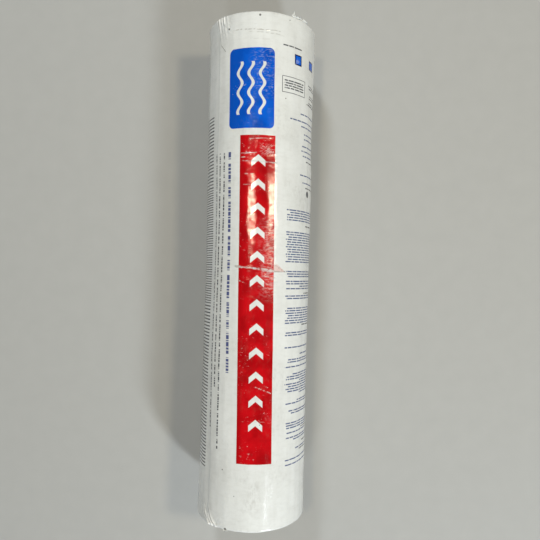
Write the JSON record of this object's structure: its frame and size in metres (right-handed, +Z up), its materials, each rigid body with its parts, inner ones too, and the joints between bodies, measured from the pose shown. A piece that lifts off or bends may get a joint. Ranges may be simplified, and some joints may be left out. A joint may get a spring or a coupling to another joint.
{
  "type": "roll of roofing felt",
  "caption": "Wound roll of bituminous roofing underlayment lying on its side, with an open bore, in a tight printed plastic wrapper with lips shrunk over both ends.",
  "frame": {"origin": "on the floor, straight below the middle of the roll", "axes": "+Y along the roll's axis, towards the end that is at the top of the picture; +Z up"},
  "size_m": [0.2004, 0.9144, 0.2004],
  "materials": {
    "bitumen_sheet": "matt black bitumen, with grey sand on one face",
    "printed_film": "satin white polythene, printed in blue and red"
  },
  "bodies": {
    "root": {"felt_roll": "bitumen_sheet", "wrapper_film": "printed_film"}
  },
  "joints": []
}
